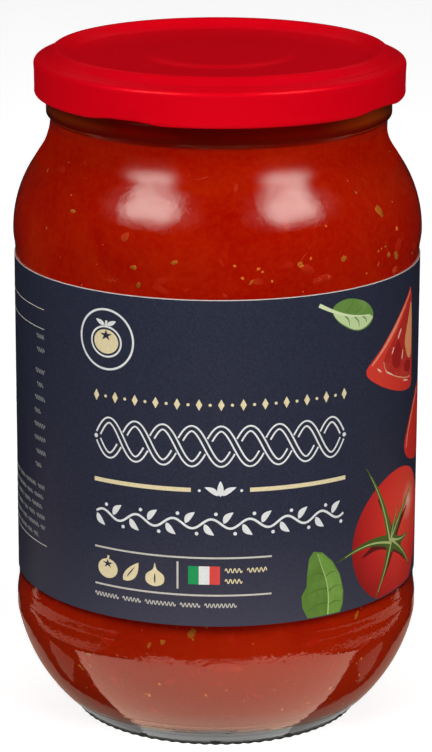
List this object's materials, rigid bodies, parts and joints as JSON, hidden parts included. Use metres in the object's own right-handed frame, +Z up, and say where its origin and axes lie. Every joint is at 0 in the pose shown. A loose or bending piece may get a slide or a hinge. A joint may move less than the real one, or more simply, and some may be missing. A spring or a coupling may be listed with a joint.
{
  "type": "jar of tomato sauce",
  "caption": "Round glass jar of tomato sauce with a wrap-round paper label and a twist-off lid with a raised safety button; stands on its base.",
  "frame": {"origin": "centre of the base, on the surface the jar stands on", "axes": "+Z up along the jar's axis, -Y towards the front of the label, +X to the right seen from the front"},
  "size_m": [0.0822, 0.0822, 0.1372],
  "materials": {
    "jar_glass": "clear flint glass, glossy",
    "tomato_sauce": "moist cooked tomato with fine pulp and herbs",
    "label_paper": "coated paper, dark navy print",
    "label_cream": "cream and white print on coated paper",
    "lid_lacquer": "satin red lacquer on tinplate",
    "herbs": "cooked leaf"
  },
  "bodies": {
    "root": {"glass_jar": "jar_glass", "sauce": "tomato_sauce", "label": "label_paper", "lid": "lid_lacquer"}
  },
  "joints": []
}
